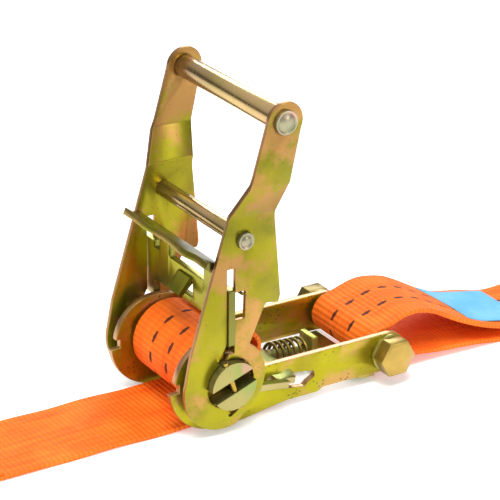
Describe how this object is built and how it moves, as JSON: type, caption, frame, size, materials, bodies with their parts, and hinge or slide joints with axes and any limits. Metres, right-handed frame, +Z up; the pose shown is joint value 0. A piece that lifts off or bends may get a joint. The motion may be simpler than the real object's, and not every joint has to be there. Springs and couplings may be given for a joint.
{
  "type": "ratchet tie down",
  "caption": "Ratchet tensioner for narrow cargo webbing: slotted spool with toothed wheels, pivoting handle with a drive pawl, locking pawl, anchored strap loop and sewn strap ends.",
  "frame": {"origin": "centre of the spool axis, midway between the two frame plates", "axes": "+X from the spool to the anchor bolt, +Y across the webbing, +Z up from the straps to the handle"},
  "size_m": [0.3126, 0.0672, 0.1209],
  "materials": {
    "plated_steel": "satin",
    "pawl_steel": "satin",
    "fastener_steel": "satin",
    "spring_steel": "satin",
    "webbing": "matt",
    "label": "matt"
  },
  "bodies": {
    "frame": {"frame_plate_near": "plated_steel", "frame_plate_far": "plated_steel", "frame_cross_plate": "plated_steel", "anchor_bolt": "fastener_steel", "anchor_nut": "fastener_steel", "washer_near": "fastener_steel", "washer_far": "fastener_steel", "anchor_bush": "fastener_steel", "short_strap": "webbing", "strap_label": "label", "long_strap": "webbing", "locking_pawl_spring": "spring_steel"},
    "handle": {"handle_plate_near": "plated_steel", "handle_plate_far": "plated_steel", "grip_rivet": "fastener_steel", "spacer_rivet": "fastener_steel", "spacer_tube": "fastener_steel", "drive_pawl_spring": "spring_steel"},
    "drive_pawl": {"drive_pawl": "pawl_steel"},
    "locking_pawl": {"locking_pawl": "pawl_steel"},
    "grip_sleeve": {"grip_sleeve": "fastener_steel"},
    "spool": {"mandrel_upper": "pawl_steel", "mandrel_lower": "pawl_steel", "ratchet_wheel_near": "pawl_steel", "ratchet_wheel_far": "pawl_steel", "wound_webbing": "webbing", "cotter_pin_near": "pawl_steel", "cotter_pin_far": "pawl_steel"}
  },
  "joints": [
    {"name": "handle_swing", "type": "hinge", "parent": "frame", "child": "handle", "pos_m": [0, 0, 0], "axis": [0, -1, 0], "range_deg": [-77, 90]},
    {"name": "spool_turn", "type": "hinge", "parent": "frame", "child": "spool", "pos_m": [0, 0, 0], "axis": [0, -1, 0], "continuous": true},
    {"name": "drive_pawl_slide", "type": "slide", "parent": "handle", "child": "drive_pawl", "axis": [0.0262, 0, -0.9997], "range_m": [-0.0055, 0.003], "stiffness_N_per_m": 1000, "springref_m": 0.004, "deforming": ["drive_pawl_spring"]},
    {"name": "locking_pawl_slide", "type": "slide", "parent": "frame", "child": "locking_pawl", "axis": [-0.9903, 0, 0.1392], "range_m": [-0.0045, 0.003], "stiffness_N_per_m": 1000, "springref_m": 0.004, "deforming": ["locking_pawl_spring"]},
    {"name": "grip_roll", "type": "hinge", "parent": "handle", "child": "grip_sleeve", "pos_m": [0.0147, 0, 0.0949], "axis": [0, -1, 0], "continuous": true}
  ]
}
